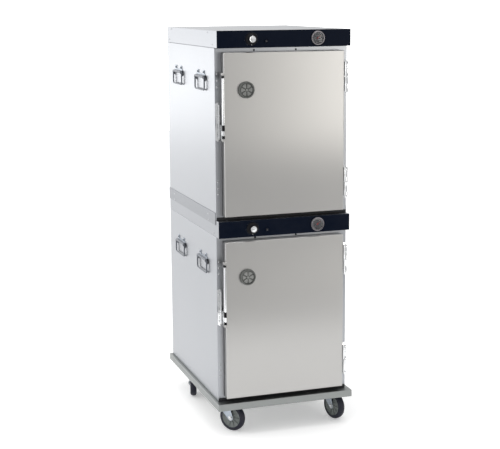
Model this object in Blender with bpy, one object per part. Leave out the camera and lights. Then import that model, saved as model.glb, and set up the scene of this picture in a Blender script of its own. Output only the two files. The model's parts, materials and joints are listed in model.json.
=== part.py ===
"""Two insulated proofing cabinets stacked on a wheeled base.

Metres, +Z up, front towards -Y. The origin is the middle of the footprint, on the floor.
"""

import math

import bmesh
import bpy
from mathutils import Matrix, Vector

# ---------------------------------------------------------------- driving dimensions
GAP = 0.0003            # clearance between two pieces that touch
OVERLAP = 0.001         # how far joined shapes run into each other

BODY_W = 0.625          # one cabinet's width
BODY_D = 0.796          # depth of the casing, without the door
CABINET_H = 0.837       # one cabinet's height, cap included
CAP_H = 0.075           # height of the cap and of the control fascia
OVERHANG = 0.041        # how far cap and door stand in front of the casing
WALL = 0.045            # insulated wall
SHEET = 0.002           # sheet metal

BASE_BOTTOM = 0.125     # lower edge of the base's skirt
BASE_TOP = 0.157        # top sheet that the lower cabinet stands on
BASE_LEDGE = 0.0135     # ledge at the sides and the rear
BASE_FRONT = 0.053      # ledge in front of the casing
FASCIA_T = 0.003
KNOB_REACH = 0.024      # how far the knob stands out of the fascia

DOOR_W = 0.566
DOOR_DROP = 0.094       # top of the cabinet to the top of the door
DOOR_H = 0.7245
DOOR_T = 0.0335
GASKET_T = 0.0064
GASKET_W = 0.014
GASKET_INSET = 0.004    # gasket's outer edge inside the door's edge

LINER_SLIDES = 8        # pairs of pan slides in one compartment
SLIDE_PITCH = 0.072
SLIDE_FIRST = 0.085     # floor of the liner to the lowest slide
SLIDE_REACH = 0.030
SLIDE_T = 0.004

KNOB_X = -0.156
KNOB_R = 0.027
KNOB_CAP_R = 0.017
SHAFT_R = 0.0035
THERMOMETER_X = 0.155
THERMOMETER_R = 0.032
THERMOMETER_BODY_R = 0.026

VENT_X = -0.181
VENT_DROP = 0.257       # top of the cabinet to the vent's centre
VENT_R = 0.039
VENT_REACH = 0.014
VENT_SPIGOT_R = 0.026

HINGE_X = 0.293         # hinge axis
HINGE_AHEAD = 0.043     # hinge axis in front of the casing
HINGE_DROPS = (0.210, 0.688)
HINGE_H = 0.140
HINGE_BARREL_R = 0.009
HINGE_PIN_R = 0.0035
HINGE_LEAF_T = 0.0025

LATCH_X = -0.289        # latch lever's pivot axis
LATCH_AHEAD = 0.039
LATCH_TOP = 0.180       # top of the cabinet to the top of the lever
LATCH_H = 0.300
LATCH_W = 0.010
LATCH_FRONT = 0.055     # front face of the lever in front of the casing
EAR_H = 0.012           # door ears that carry the lever
STRIKE_TOP = 0.311
STRIKE_H = 0.172

HANDLE_DROP = 0.208     # top of the cabinet to the bail's pivot
HANDLE_Y = 0.190        # handles each side of the middle of the casing's depth
HANDLE_OFF = 0.0075     # pivot out of the side panel
BAIL_R = 0.0034
BAIL_HALF = 0.074       # middle of a leg from the middle of the handle
BAIL_DROP = 0.058
PLATE_HALF = 0.068
SOCKET_R = 0.0040
SOCKET_DEPTH = 0.014

BAND_ABOVE = 0.034      # stacking band, above and below the joint of the two cabinets
BAND_BELOW = 0.021

CASTER_X = 0.258
CASTER_FRONT = 0.062    # swivel axes behind the front of the casing
CASTER_REAR = 0.607
WHEEL_R = 0.0635
WHEEL_W = 0.032
TRAIL = 0.038           # swivel axis to axle
AXLE_R = 0.006
PEDAL_PIVOT = (-0.022, 0.117)   # ahead of the swivel axis, above the floor
PEDAL_PIN_R = 0.003
PAD = 0.100             # side of the square pad over each caster
CASTERS = {             # corner: side of X, distance behind the casing's front, heading
    "front_left": (-1, CASTER_FRONT, math.radians(-50)),
    "front_right": (1, CASTER_FRONT, math.radians(-72)),
    "rear_left": (-1, CASTER_REAR, math.radians(-106)),
    "rear_right": (1, CASTER_REAR, math.radians(-98)),
}

# ---------------------------------------------------------------- derived places
FRONT_REACH = OVERHANG + KNOB_REACH
REAR_REACH = BODY_D + BASE_LEDGE
FRAME_Y = (FRONT_REACH - REAR_REACH) / 2       # front face of the casings
REAR_Y = FRAME_Y + BODY_D
FACE_Y = FRAME_Y - OVERHANG                    # front face of doors and fascias
HALF_W = BODY_W / 2
JOINT_Z = BASE_TOP + GAP + CABINET_H           # top of the lower cabinet
CABINETS = {"lower": BASE_TOP + GAP, "upper": JOINT_Z + GAP}


# ---------------------------------------------------------------- materials
def material(name, colour, roughness, metallic):
    """A Principled material with one colour."""
    made = bpy.data.materials.new(name)
    made.use_nodes = True
    made.diffuse_color = (*colour, 1)
    shader = made.node_tree.nodes["Principled BSDF"]
    shader.inputs["Base Color"].default_value = (*colour, 1)
    shader.inputs["Roughness"].default_value = roughness
    shader.inputs["Metallic"].default_value = metallic
    return made


def make_materials():
    return {
        "steel": material("satin_steel", (0.62, 0.63, 0.64), 0.34, 1.0),
        "liner": material("liner_steel", (0.55, 0.56, 0.57), 0.28, 1.0),
        "band": material("band_steel", (0.48, 0.50, 0.52), 0.45, 1.0),
        "base": material("base_steel", (0.42, 0.44, 0.42), 0.42, 1.0),
        "zinc": material("zinc_plate", (0.50, 0.53, 0.55), 0.40, 1.0),
        "chrome": material("polished_chrome", (0.78, 0.79, 0.80), 0.12, 1.0),
        "fascia": material("dark_fascia", (0.010, 0.014, 0.026), 0.28, 0.0),
        "knob": material("black_plastic", (0.012, 0.012, 0.013), 0.38, 0.0),
        "vent": material("grey_plastic", (0.07, 0.075, 0.08), 0.50, 0.0),
        "gasket": material("gasket_rubber", (0.02, 0.02, 0.02), 0.75, 0.0),
        "tyre": material("caster_tyre", (0.022, 0.023, 0.027), 0.60, 0.0),
        "heater": material("heater_sheath", (0.16, 0.14, 0.13), 0.50, 0.8),
    }


# ---------------------------------------------------------------- shapes
def shape_object(mesh_builder):
    """An object from a bmesh whose faces are turned outwards."""
    bmesh.ops.recalc_face_normals(mesh_builder, faces=mesh_builder.faces)
    mesh = bpy.data.meshes.new("shape")
    mesh_builder.to_mesh(mesh)
    mesh_builder.free()
    made = bpy.data.objects.new("shape", mesh)
    bpy.context.collection.objects.link(made)
    return made


def block(low, high, radius=0.0, segments=2):
    """A box between two corners, its edges rounded by radius."""
    work = bmesh.new()
    bmesh.ops.create_cube(work, size=1.0)
    size = Vector(high) - Vector(low)
    middle = (Vector(high) + Vector(low)) / 2
    bmesh.ops.scale(work, vec=size, verts=work.verts)
    bmesh.ops.translate(work, vec=middle, verts=work.verts)
    if radius:
        bmesh.ops.bevel(
            work, geom=work.edges[:], offset=radius, segments=segments, profile=0.5, affect="EDGES"
        )
    return shape_object(work)


def rod(start, end, radius, sides=16):
    """A cylinder from start to end."""
    start, end = Vector(start), Vector(end)
    along = end - start
    turn = along.to_track_quat("Z", "Y").to_matrix().to_4x4()
    work = bmesh.new()
    bmesh.ops.create_cone(
        work, cap_ends=True, segments=sides, radius1=radius, radius2=radius, depth=along.length,
        matrix=Matrix.Translation((start + end) / 2) @ turn,
    )
    return shape_object(work)


def plate(outline, axis, low, high):
    """An outline of two coordinates, extruded from low to high along axis 0, 1 or 2."""
    work = bmesh.new()

    def corner(point, depth):
        values = list(point)
        values.insert(axis, depth)
        return work.verts.new(values)

    near = [corner(point, low) for point in outline]
    far = [corner(point, high) for point in outline]
    work.faces.new(near)
    work.faces.new(far)
    for i in range(len(outline)):
        j = (i + 1) % len(outline)
        work.faces.new((near[i], near[j], far[j], far[i]))
    return shape_object(work)


def turned(profile, origin, axis, sides=32, phase=0.0):
    """A closed profile of (radius, distance along axis), turned about axis through origin."""
    work = bmesh.new()
    rings = []
    for step in range(sides):
        angle = math.tau * (step + phase) / sides
        rings.append([
            work.verts.new((radius * math.cos(angle), radius * math.sin(angle), along))
            for radius, along in profile
        ])
    count = len(profile)
    for step in range(sides):
        ring, following = rings[step], rings[(step + 1) % sides]
        for i in range(count):
            j = (i + 1) % count
            work.faces.new((ring[i], ring[j], following[j], following[i]))
    turn = Vector(axis).to_track_quat("Z", "Y").to_matrix().to_4x4()
    bmesh.ops.transform(work, matrix=Matrix.Translation(origin) @ turn, verts=work.verts)
    return shape_object(work)


def disc(profile, origin, axis, sides=32):
    """Like turned, for a profile whose first and last points are on the axis."""
    work = bmesh.new()
    first = work.verts.new((0, 0, profile[0][1]))
    last = work.verts.new((0, 0, profile[-1][1]))
    rings = []
    for radius, along in profile[1:-1]:
        rings.append([
            work.verts.new((
                radius * math.cos(math.tau * i / sides), radius * math.sin(math.tau * i / sides), along
            ))
            for i in range(sides)
        ])
    for i in range(sides):
        j = (i + 1) % sides
        work.faces.new((first, rings[0][j], rings[0][i]))
        work.faces.new((last, rings[-1][i], rings[-1][j]))
        for inner, outer in zip(rings, rings[1:]):
            work.faces.new((inner[i], inner[j], outer[j], outer[i]))
    turn = Vector(axis).to_track_quat("Z", "Y").to_matrix().to_4x4()
    bmesh.ops.transform(work, matrix=Matrix.Translation(origin) @ turn, verts=work.verts)
    return shape_object(work)


def arc(centre, radius, start, end, steps):
    """Points of an arc, angles in degrees."""
    angles = [math.radians(start + (end - start) * i / steps) for i in range(steps + 1)]
    return [(centre[0] + radius * math.cos(a), centre[1] + radius * math.sin(a)) for a in angles]


def bent_rod(points, radius, sides=8):
    """A round rod through points, mitred at each one, with flat ends."""
    points = [Vector(point) for point in points]
    runs = [(far - near).normalized() for near, far in zip(points, points[1:])]
    side = runs[0].orthogonal().normalized()
    work = bmesh.new()
    rings = []
    for i, point in enumerate(points):
        arrive = runs[max(i - 1, 0)]
        leave = runs[min(i, len(runs) - 1)]
        mitre = (arrive + leave).normalized()
        other = arrive.cross(side)
        ring = []
        for k in range(sides):
            angle = math.tau * k / sides
            offset = (side * math.cos(angle) + other * math.sin(angle)) * radius
            offset -= arrive * (offset.dot(mitre) / arrive.dot(mitre))
            ring.append(work.verts.new(point + offset))
        rings.append(ring)
        side = arrive.rotation_difference(leave) @ side
    for ring, following in zip(rings, rings[1:]):
        for k in range(sides):
            m = (k + 1) % sides
            work.faces.new((ring[k], ring[m], following[m], following[k]))
    work.faces.new(rings[0])
    work.faces.new(rings[-1])
    return shape_object(work)


# ---------------------------------------------------------------- joining and finishing
def combine(body, tools, operation):
    """Apply a Boolean with each tool in turn, then remove the tools."""
    for tool in tools:
        boolean = body.modifiers.new("combine", "BOOLEAN")
        boolean.operation = operation
        boolean.solver = "EXACT"
        boolean.object = tool
        bpy.context.view_layer.update()
        result = bpy.data.meshes.new_from_object(body.evaluated_get(bpy.context.evaluated_depsgraph_get()))
        body.modifiers.clear()
        body.data = result
        bpy.data.objects.remove(tool)
    return body


def fuse(body, *tools):
    return combine(body, tools, "UNION")


def cut(body, *tools):
    return combine(body, tools, "DIFFERENCE")


def finish(body, name, look, origin=(0, 0, 0), parent=None, smooth=35):
    """Name a body, give it its material, and put its origin on its joint's axis."""
    origin = Vector(origin)
    body.name = name
    body.data.name = name
    body.data.transform(Matrix.Translation(-origin))
    body.location = origin
    body.data.materials.clear()
    body.data.materials.append(look)
    body.data.shade_smooth()
    body.data.set_sharp_from_angle(angle=math.radians(smooth))
    if parent is not None:
        body.parent = parent
        body.location = origin - parent.location
    return body


# ---------------------------------------------------------------- base and casters
def base_frame(looks):
    """Tray turned downwards, with a pad, a ball race and a king pin over each caster."""
    low = (-HALF_W - BASE_LEDGE, FRAME_Y - BASE_FRONT, BASE_BOTTOM)
    high = (HALF_W + BASE_LEDGE, REAR_Y + BASE_LEDGE, BASE_TOP)
    body = block(low, high, 0.0015, 1)
    body = cut(body, block(
        (low[0] + SHEET, low[1] + SHEET, low[2] - 0.01), (high[0] - SHEET, high[1] - SHEET, high[2] - SHEET)
    ))
    for side_y in (CASTER_FRONT, CASTER_REAR):
        body = fuse(body, block(
            (low[0] + OVERLAP, FRAME_Y + side_y - PAD / 2, BASE_TOP - SHEET - 0.005),
            (high[0] - OVERLAP, FRAME_Y + side_y + PAD / 2, BASE_TOP - SHEET + OVERLAP),
        ))
    for side_x, behind, _ in CASTERS.values():
        x, y = side_x * CASTER_X, FRAME_Y + behind
        body = fuse(
            body,
            rod((x, y, BASE_TOP - SHEET - OVERLAP), (x, y, 0.1445), 0.030, 16),
            rod((x, y, BASE_TOP - SHEET - OVERLAP), (x, y, 0.1385), AXLE_R, 12),
        )
    return finish(body, "base_frame", looks["base"])


def caster_fork(looks, corner):
    """Swivel head, two raked legs and the axle between them; brake ears on the front pair."""
    inner, outer = WHEEL_W / 2 + 0.0015, WHEEL_W / 2 + 0.0050
    braked = corner.startswith("front")
    leg = [(-0.024, 0.1430), (0.026, 0.1430)]
    leg += arc((TRAIL, WHEEL_R), 0.014, 35, -145, 5)
    leg += [(-0.018, 0.104), (-0.030, 0.112), (-0.030, 0.124)] if braked else [(-0.024, 0.128)]
    head = turned(
        [(AXLE_R + 0.0004, 0.1380), (0.0225, 0.1380), (0.0285, 0.1405), (0.0265, 0.1442),
         (AXLE_R + 0.0004, 0.1442)],
        (0, 0, 0), (0, 0, 1), 16,
    )
    body = fuse(
        head,
        plate(leg, 1, inner, outer),
        plate(leg, 1, -outer, -inner),
        rod((TRAIL, -outer - 0.004, WHEEL_R), (TRAIL, outer + 0.004, WHEEL_R), AXLE_R, 12),
    )
    if braked:
        x, z = PEDAL_PIVOT
        body = fuse(body, rod((x, -outer - 0.001, z), (x, outer + 0.001, z), PEDAL_PIN_R, 8))
    return finish(body, "caster_fork_" + corner, looks["zinc"])


def caster_wheel(looks, corner):
    """Tyre with rounded shoulders on a dished hub, bored for its axle and standing on a flat."""
    half = WHEEL_W / 2
    sides = 24
    tread = WHEEL_R / math.cos(math.pi / sides)
    side = [(AXLE_R + 0.0004, half), (0.019, half), (0.022, half - 0.006), (0.044, half - 0.006),
            (0.047, half - 0.0005), (tread - 0.005, half - 0.0005), (tread, half - 0.006)]
    profile = side + [(radius, -along) for radius, along in reversed(side)]
    body = turned(profile, (0, 0, 0), (0, 1, 0), sides, 0.5)
    return finish(body, "caster_wheel_" + corner, looks["tyre"])


def brake_pedal(looks, corner):
    """Foot pedal on the fork's brake pin, with a lobe that its tread pushes onto the tyre."""
    half = WHEEL_W / 2 + 0.0010
    outline = [(0.005, 0.005), (-0.004, 0.0065), (-0.040, 0.001), (-0.042, -0.003), (-0.009, -0.004),
               (0.0045, -0.0145), (0.0085, -0.0135)]
    body = plate(outline, 1, -half, half)
    body = fuse(body, block((-0.046, -half - 0.004, -0.0045), (-0.030, half + 0.004, 0.0015), 0.0012, 1))
    body = cut(body, rod((0, -0.05, 0), (0, 0.05, 0), PEDAL_PIN_R + 0.0004, 8))
    return finish(body, "brake_pedal_" + corner, looks["knob"])


def make_casters(looks):
    for corner, (side_x, behind, heading) in CASTERS.items():
        fork = caster_fork(looks, corner)
        fork.location = (side_x * CASTER_X, FRAME_Y + behind, 0)
        fork.rotation_euler = (0, 0, heading)
        wheel = caster_wheel(looks, corner)
        wheel.parent = fork
        wheel.location = (TRAIL, 0, WHEEL_R)
        if corner.startswith("front"):
            pedal = brake_pedal(looks, corner)
            pedal.parent = fork
            pedal.location = (PEDAL_PIVOT[0], 0, PEDAL_PIVOT[1])


def stacking_band(looks):
    """Band that wraps the sides and the rear where the upper cabinet stands on the lower one."""
    inner_x, outer_x = HALF_W + GAP, HALF_W + GAP + SHEET
    inner_y, outer_y = REAR_Y + GAP, REAR_Y + GAP + SHEET
    front = FRAME_Y + 0.004
    outline = [
        (-outer_x, front), (-outer_x, outer_y), (outer_x, outer_y), (outer_x, front),
        (inner_x, front), (inner_x, inner_y), (-inner_x, inner_y), (-inner_x, front),
    ]
    body = plate(outline, 2, JOINT_Z - BAND_BELOW, JOINT_Z + BAND_ABOVE)
    return finish(body, "stacking_band", looks["band"])


# ---------------------------------------------------------------- one cabinet's fixed pieces
def casing(looks, prefix, floor):
    """Insulated box, open at the front."""
    top = floor + CABINET_H - CAP_H - GAP
    body = block((-HALF_W, FRAME_Y, floor), (HALF_W, REAR_Y, top), 0.0015, 1)
    body = cut(body, block(
        (-HALF_W + WALL, FRAME_Y - 0.05, floor + WALL), (HALF_W - WALL, REAR_Y - WALL, top - WALL)
    ))
    return finish(body, prefix + "_casing", looks["steel"])


def liner(looks, prefix, floor):
    """Inner box with pan slides pressed into its side walls, open at the front."""
    x = HALF_W - WALL - GAP
    low_z = floor + WALL + GAP
    high_z = floor + CABINET_H - CAP_H - GAP - WALL - GAP
    front, back = FRAME_Y + GAP, REAR_Y - WALL - GAP
    body = block((-x, front, low_z), (x, back, high_z))
    body = cut(body, block(
        (-x + SHEET, front - 0.05, low_z + SHEET), (x - SHEET, back - SHEET, high_z - SHEET)
    ))
    for side in (-1, 1):
        for level in range(LINER_SLIDES):
            z = low_z + SLIDE_FIRST + level * SLIDE_PITCH
            ends = sorted((side * (x - SHEET + OVERLAP), side * (x - SLIDE_REACH)))
            body = fuse(body, block((ends[0], front + 0.040, z), (ends[1], back - 0.030, z + SLIDE_T)))
    return finish(body, prefix + "_liner", looks["liner"])


def cap(looks, prefix, floor):
    """Hood over the casing; its front hangs over the door and holds the fascia."""
    top = floor + CABINET_H
    bottom = top - CAP_H
    front = FACE_Y + FASCIA_T + GAP
    body = block((-HALF_W, front, bottom), (HALF_W, REAR_Y, top), 0.0015, 1)
    body = cut(
        body,
        block((-HALF_W + SHEET, front - 0.02, bottom + SHEET), (HALF_W - SHEET, REAR_Y - SHEET, top - SHEET)),
        block((-HALF_W + SHEET, FRAME_Y + 0.001, bottom - 0.02),
              (HALF_W - SHEET, REAR_Y - SHEET, bottom + 0.02)),
    )
    return finish(body, prefix + "_cap", looks["steel"])


def fascia(looks, prefix, floor):
    """Dark control panel with holes for the knob's shaft and the thermometer."""
    top = floor + CABINET_H
    middle = top - CAP_H / 2
    body = block((-HALF_W, FACE_Y, top - CAP_H), (HALF_W, FACE_Y + FASCIA_T, top), 0.0006, 1)
    body = cut(
        body,
        rod((KNOB_X, FACE_Y - 0.01, middle), (KNOB_X, FACE_Y + 0.01, middle), SHAFT_R + 0.0005, 10),
        rod((THERMOMETER_X, FACE_Y - 0.01, middle), (THERMOMETER_X, FACE_Y + 0.01, middle),
            THERMOMETER_BODY_R + 0.0005, 24),
    )
    return finish(body, prefix + "_fascia", looks["fascia"])


def thermostat_knob(looks, prefix, floor):
    """Skirted knob with a raised centre, on a shaft that passes through the fascia."""
    z = floor + CABINET_H - CAP_H / 2
    profile = [
        (0, KNOB_REACH), (KNOB_CAP_R, KNOB_REACH), (KNOB_CAP_R + 0.0005, 0.010), (KNOB_R - 0.001, 0.006),
        (KNOB_R, 0.0012), (SHAFT_R, 0.0012), (SHAFT_R, -0.020), (0, -0.020),
    ]
    body = disc(profile, (KNOB_X, FACE_Y, z), (0, -1, 0), 24)
    return finish(body, prefix + "_thermostat_knob", looks["knob"], (KNOB_X, FACE_Y, z))


def thermometer(looks, prefix, floor):
    """Dial thermometer: a case behind the fascia and a bezel in front of it."""
    z = floor + CABINET_H - CAP_H / 2
    profile = [
        (0, 0.0045), (THERMOMETER_R - 0.003, 0.0045), (THERMOMETER_R - 0.001, 0.0060),
        (THERMOMETER_R, GAP), (THERMOMETER_BODY_R, GAP), (THERMOMETER_BODY_R, -0.018), (0, -0.018),
    ]
    body = disc(profile, (THERMOMETER_X, FACE_Y, z), (0, -1, 0), 24)
    return finish(body, prefix + "_thermometer", looks["chrome"])


def heater(looks, prefix, floor):
    """Tubular element in one flat loop over the liner's floor, from a terminal block at the back."""
    z = floor + WALL + 0.035
    back = REAR_Y - WALL - GAP - SHEET - GAP
    front = FRAME_Y + 0.120
    path = [
        (-0.040, back - 0.010, z), (-0.040, back - 0.060, z), (-0.200, back - 0.090, z),
        (-0.200, front, z), (-0.170, front - 0.030, z), (0.170, front - 0.030, z), (0.200, front, z),
        (0.200, back - 0.090, z), (0.040, back - 0.060, z), (0.040, back - 0.010, z),
    ]
    body = bent_rod(path, 0.004, 6)
    body = fuse(body, block((-0.060, back - 0.014, z - 0.020), (0.060, back, z + 0.020)))
    return finish(body, prefix + "_heater", looks["heater"])


def latch_strike(looks, prefix, floor):
    """Polished strike on the left of the door frame, with a lip beside the lever's tongue."""
    top = floor + CABINET_H - STRIKE_TOP
    right = LATCH_X - LATCH_W / 2 - 0.0015
    body = block((-HALF_W + 0.0015, FRAME_Y - GAP - 0.0025, top - STRIKE_H), (right, FRAME_Y - GAP, top))
    body = fuse(body, block(
        (right - 0.003, FRAME_Y - 0.013, top - STRIKE_H + 0.010), (right, FRAME_Y - 0.0015, top - 0.010)
    ))
    return finish(body, prefix + "_latch_strike", looks["chrome"])


def hinge_bracket(looks, prefix, floor, where, drop):
    """Frame leaf: a screwed plate, an arm to the front, the lower knuckle and the pin."""
    z = floor + CABINET_H - drop
    axis_y = FRAME_Y - HINGE_AHEAD
    low, high = z - HINGE_H / 2, z + HINGE_H / 2
    plate_left = DOOR_W / 2 + 0.0015
    body = block((plate_left, FRAME_Y - GAP - HINGE_LEAF_T, low), (HALF_W - 0.001, FRAME_Y - GAP, high))
    body = fuse(
        body,
        block((HINGE_X - 0.001, axis_y, low + 0.004), (HINGE_X + 0.0045, FRAME_Y - 0.0015, z - 0.002)),
        rod((HINGE_X, axis_y, low - 0.004), (HINGE_X, axis_y, z - 0.001), HINGE_BARREL_R, 14),
        rod((HINGE_X, axis_y, z - 0.010), (HINGE_X, axis_y, high - 0.012), HINGE_PIN_R, 8),
    )
    return finish(body, prefix + "_hinge_bracket_" + where, looks["chrome"])


def drop_handle_plate(looks, prefix, floor, side, where, middle_y):
    """Screwed plate whose lower edge is rolled into two sockets for the bail."""
    z = floor + CABINET_H - HANDLE_DROP
    x_panel = side * (HALF_W + GAP)
    x_face = x_panel + side * 0.002
    x_axis = side * (HALF_W + HANDLE_OFF)
    xs = sorted((x_panel, x_face))
    body = block((xs[0], middle_y - PLATE_HALF, z - 0.008), (xs[1], middle_y + PLATE_HALF, z + 0.032))
    roll = [(x_axis + 0.0056 * math.cos(a), z + 0.0056 * math.sin(a))
            for a in (math.tau * i / 10 for i in range(10))]
    body = fuse(body, plate(roll, 1, middle_y - PLATE_HALF + 0.0004, middle_y + PLATE_HALF - 0.0004))
    for end in (-1, 1):
        outside = middle_y + end * (PLATE_HALF + 0.002)
        body = cut(body, rod(
            (x_axis, outside, z), (x_axis, middle_y + end * (PLATE_HALF - SOCKET_DEPTH), z), SOCKET_R, 8
        ))
    return finish(body, "_".join((prefix, "drop_handle_plate", where)), looks["zinc"])


def drop_handle_bail(looks, prefix, floor, side, where, middle_y):
    """Rod bail hanging from its plate's sockets."""
    z = floor + CABINET_H - HANDLE_DROP
    x = side * (HALF_W + HANDLE_OFF)
    top_bend, low_bend = 0.006, 0.012
    half = [(PLATE_HALF - SOCKET_DEPTH + 0.004, 0.0)]
    half += arc((BAIL_HALF - top_bend, -top_bend), top_bend, 90, 0, 2)
    half += arc((BAIL_HALF - low_bend, -BAIL_DROP + low_bend), low_bend, 0, -90, 2)
    path = [(x, middle_y - a, z + b) for a, b in half] + [(x, middle_y + a, z + b) for a, b in reversed(half)]
    body = bent_rod(path, BAIL_R, 8)
    return finish(body, "_".join((prefix, "drop_handle_bail", where)), looks["zinc"], (x, middle_y, z))


# ---------------------------------------------------------------- one cabinet's door
def door(looks, prefix, floor):
    """Insulated door slab with two ears for the latch lever and a hole for the vent."""
    top = floor + CABINET_H - DOOR_DROP
    half = DOOR_W / 2
    body = block((-half, FACE_Y, top - DOOR_H), (half, FACE_Y + DOOR_T, top), 0.0025, 1)
    lever_top = floor + CABINET_H - LATCH_TOP
    for low in (lever_top - EAR_H, lever_top - LATCH_H):
        body = fuse(body, block(
            (LATCH_X - LATCH_W / 2, FRAME_Y - LATCH_FRONT + 0.002, low),
            (-half + 0.004, FACE_Y + 0.010, low + EAR_H), 0.001, 1,
        ))
    pin_y = FRAME_Y - LATCH_AHEAD
    ends = ((lever_top - EAR_H + OVERLAP, -0.008), (lever_top - LATCH_H + EAR_H - OVERLAP, 0.008))
    for start, reach in ends:
        body = fuse(body, rod((LATCH_X, pin_y, start), (LATCH_X, pin_y, start + reach), 0.0020, 8))
    vent_z = floor + CABINET_H - VENT_DROP
    body = cut(body, rod(
        (VENT_X, FACE_Y - 0.01, vent_z), (VENT_X, FACE_Y + DOOR_T + 0.01, vent_z), VENT_SPIGOT_R + 0.0006, 24
    ))
    hinge = (HINGE_X, FRAME_Y - HINGE_AHEAD, top - DOOR_H / 2)
    return finish(body, prefix + "_door", looks["steel"], hinge)


def door_gasket(looks, prefix, floor, parent):
    """Rubber ring on the back of the door."""
    top = floor + CABINET_H - DOOR_DROP
    half = DOOR_W / 2 - GASKET_INSET
    front = FACE_Y + DOOR_T + GAP
    low, high = top - DOOR_H + GASKET_INSET, top - GASKET_INSET
    body = block((-half, front, low), (half, front + GASKET_T, high), 0.002, 1)
    body = cut(body, block(
        (-half + GASKET_W, front - 0.01, low + GASKET_W), (half - GASKET_W, front + 0.02, high - GASKET_W)
    ))
    return finish(body, prefix + "_door_gasket", looks["gasket"], parent.location, parent)


def door_vent(looks, prefix, floor, parent):
    """Round vent that turns in the door, hollow behind its face."""
    z = floor + CABINET_H - VENT_DROP
    inner = VENT_SPIGOT_R - 0.004
    profile = [
        (0, VENT_REACH), (VENT_R - 0.004, VENT_REACH), (VENT_R, VENT_REACH - 0.005), (VENT_R, 0.0006),
        (VENT_SPIGOT_R, 0.0006), (VENT_SPIGOT_R, -DOOR_T + 0.002), (inner, -DOOR_T + 0.002), (inner, 0.004),
        (0, 0.004),
    ]
    body = disc(profile, (VENT_X, FACE_Y, z), (0, -1, 0), 24)
    return finish(body, prefix + "_door_vent", looks["vent"], (VENT_X, FACE_Y, z), parent)


def hinge_strap(looks, prefix, floor, where, drop, parent):
    """Door leaf: a plate on the door's edge and the upper knuckle, bored for the pin."""
    z = floor + CABINET_H - drop
    axis_y = FRAME_Y - HINGE_AHEAD
    low, high = z - HINGE_H / 2, z + HINGE_H / 2
    left = DOOR_W / 2 + GAP
    body = block((left, FACE_Y + 0.004, low), (left + 0.0022, FACE_Y + DOOR_T - 0.003, high))
    body = fuse(
        body,
        block((left + 0.0002, axis_y - 0.004, z + 0.004), (left + 0.0035, FACE_Y + 0.010, high - 0.004)),
        rod((HINGE_X, axis_y, z + GAP), (HINGE_X, axis_y, high - 0.003), HINGE_BARREL_R, 14),
    )
    body = cut(body, rod((HINGE_X, axis_y, z - 0.02), (HINGE_X, axis_y, high - 0.010), HINGE_PIN_R + 0.0005, 8))
    return finish(body, prefix + "_hinge_strap_" + where, looks["chrome"], parent.location, parent)


def latch_handle(looks, prefix, floor, parent):
    """Long lever between the door's ears, with a tongue that closes beside the strike's lip."""
    lever_top = floor + CABINET_H - LATCH_TOP
    low, high = lever_top - LATCH_H + EAR_H + GAP, lever_top - EAR_H - GAP
    pivot_y = FRAME_Y - LATCH_AHEAD
    left, right = LATCH_X - LATCH_W / 2, LATCH_X + LATCH_W / 2
    body = block((left, FRAME_Y - LATCH_FRONT, low), (right, pivot_y, high), 0.0015, 1)
    body = fuse(body, rod((LATCH_X, pivot_y, low), (LATCH_X, pivot_y, high), LATCH_W / 2, 12))
    strike_low = floor + CABINET_H - STRIKE_TOP - STRIKE_H
    body = fuse(body, block(
        (left + 0.0004, pivot_y, strike_low + 0.015), (left + 0.0030, FRAME_Y - 0.0095, strike_low + 0.075)
    ))
    for end, reach in ((low, 0.012), (high, -0.012)):
        body = cut(body, rod((LATCH_X, pivot_y, end - reach), (LATCH_X, pivot_y, end + reach), 0.0025, 8))
    return finish(body, prefix + "_latch_handle", looks["chrome"], (LATCH_X, pivot_y, (low + high) / 2), parent)


def make_cabinet(looks, prefix, floor):
    casing(looks, prefix, floor)
    liner(looks, prefix, floor)
    cap(looks, prefix, floor)
    fascia(looks, prefix, floor)
    thermostat_knob(looks, prefix, floor)
    thermometer(looks, prefix, floor)
    heater(looks, prefix, floor)
    latch_strike(looks, prefix, floor)
    leaf = door(looks, prefix, floor)
    door_gasket(looks, prefix, floor, leaf)
    door_vent(looks, prefix, floor, leaf)
    latch_handle(looks, prefix, floor, leaf)
    for where, drop in zip(("top", "bottom"), HINGE_DROPS):
        hinge_bracket(looks, prefix, floor, where, drop)
        hinge_strap(looks, prefix, floor, where, drop, leaf)
    middle = (FRAME_Y + REAR_Y) / 2
    for side, side_name in ((-1, "left"), (1, "right")):
        for along, end_name in ((-HANDLE_Y, "front"), (HANDLE_Y, "rear")):
            where = side_name + "_" + end_name
            drop_handle_plate(looks, prefix, floor, side, where, middle + along)
            drop_handle_bail(looks, prefix, floor, side, where, middle + along)


def main():
    for old in list(bpy.data.objects):
        bpy.data.objects.remove(old)
    looks = make_materials()
    base_frame(looks)
    make_casters(looks)
    stacking_band(looks)
    for prefix, floor in CABINETS.items():
        make_cabinet(looks, prefix, floor)


main()
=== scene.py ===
"""Looks for two stacked proofing cabinets on a caster base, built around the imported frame."""

import json
import math

import bmesh
import bpy
from mathutils import Matrix, Vector


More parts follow.
